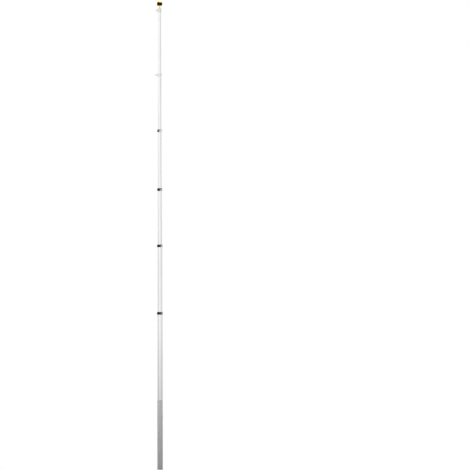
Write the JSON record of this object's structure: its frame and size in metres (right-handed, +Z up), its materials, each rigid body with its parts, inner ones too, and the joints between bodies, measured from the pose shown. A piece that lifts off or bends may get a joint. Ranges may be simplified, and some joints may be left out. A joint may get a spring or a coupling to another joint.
{
  "type": "telescoping flagpole",
  "caption": "Tall telescoping flagpole of sliding aluminium tubes with black lock collars, swivelling flag rings with eyes, a gold ball finial and a grey sleeve on its foot.",
  "frame": {"origin": "centre of the flat underside of the foot plug, on the pole's axis", "axes": "+Z up along the pole, -X towards the lug of the lower flag ring, and -Y towards the viewer of the picture"},
  "size_m": [0.1062, 0.0796, 6.19],
  "materials": {
    "tube_aluminium": "satin silver anodised aluminium",
    "sleeve_grey": "matte grey shrunk-on sleeve",
    "collar_black": "satin black moulding",
    "ring_grey": "light grey moulding",
    "nylon_white": "natural white nylon",
    "gold": "polished gold anodised"
  },
  "bodies": {
    "base": {"foot_plug": "sleeve_grey", "ground_sleeve": "sleeve_grey", "base_tube": "tube_aluminium", "base_lock_collar": "collar_black"},
    "second_section": {"second_tube": "tube_aluminium", "second_guide_foot": "nylon_white", "second_lock_collar": "collar_black"},
    "third_section": {"third_tube": "tube_aluminium", "third_guide_foot": "nylon_white", "third_lock_collar": "collar_black"},
    "fourth_section": {"fourth_tube": "tube_aluminium", "fourth_guide_foot": "nylon_white", "fourth_lock_collar": "collar_black"},
    "fifth_section": {"fifth_tube": "tube_aluminium", "fifth_guide_foot": "nylon_white", "flag_ring_collar": "ring_grey", "flag_ring_retainer": "ring_grey"},
    "top_section": {"top_tube": "tube_aluminium", "top_guide_foot": "nylon_white", "upper_ring_top_stop": "ring_grey", "upper_ring_bottom_stop": "ring_grey", "top_cap": "ring_grey", "finial_stem": "gold", "finial_tip": "nylon_white", "finial_ball_lower": "gold", "finial_ball_upper": "gold"},
    "lower_ring": {"lower_flag_ring": "ring_grey"},
    "upper_ring": {"upper_flag_ring": "ring_grey"}
  },
  "joints": [
    {"name": "second_slide", "type": "slide", "parent": "base", "child": "second_section", "axis": [0, 0, -1], "range_m": [0, 0.85]},
    {"name": "third_slide", "type": "slide", "parent": "second_section", "child": "third_section", "axis": [0, 0, -1], "range_m": [0, 0.703]},
    {"name": "fourth_slide", "type": "slide", "parent": "third_section", "child": "fourth_section", "axis": [0, 0, -1], "range_m": [0, 0.736]},
    {"name": "fifth_slide", "type": "slide", "parent": "fourth_section", "child": "fifth_section", "axis": [0, 0, -1], "range_m": [0, 0.696]},
    {"name": "top_slide", "type": "slide", "parent": "fifth_section", "child": "top_section", "axis": [0, 0, -1], "range_m": [0, 0.802]},
    {"name": "lower_ring_swivel", "type": "hinge", "parent": "fifth_section", "child": "lower_ring", "pos_m": [0, 0, 5.2128], "axis": [0, 0, 1], "continuous": true},
    {"name": "upper_ring_swivel", "type": "hinge", "parent": "top_section", "child": "upper_ring", "pos_m": [0, 0, 6.062], "axis": [0, 0, 1], "continuous": true}
  ]
}
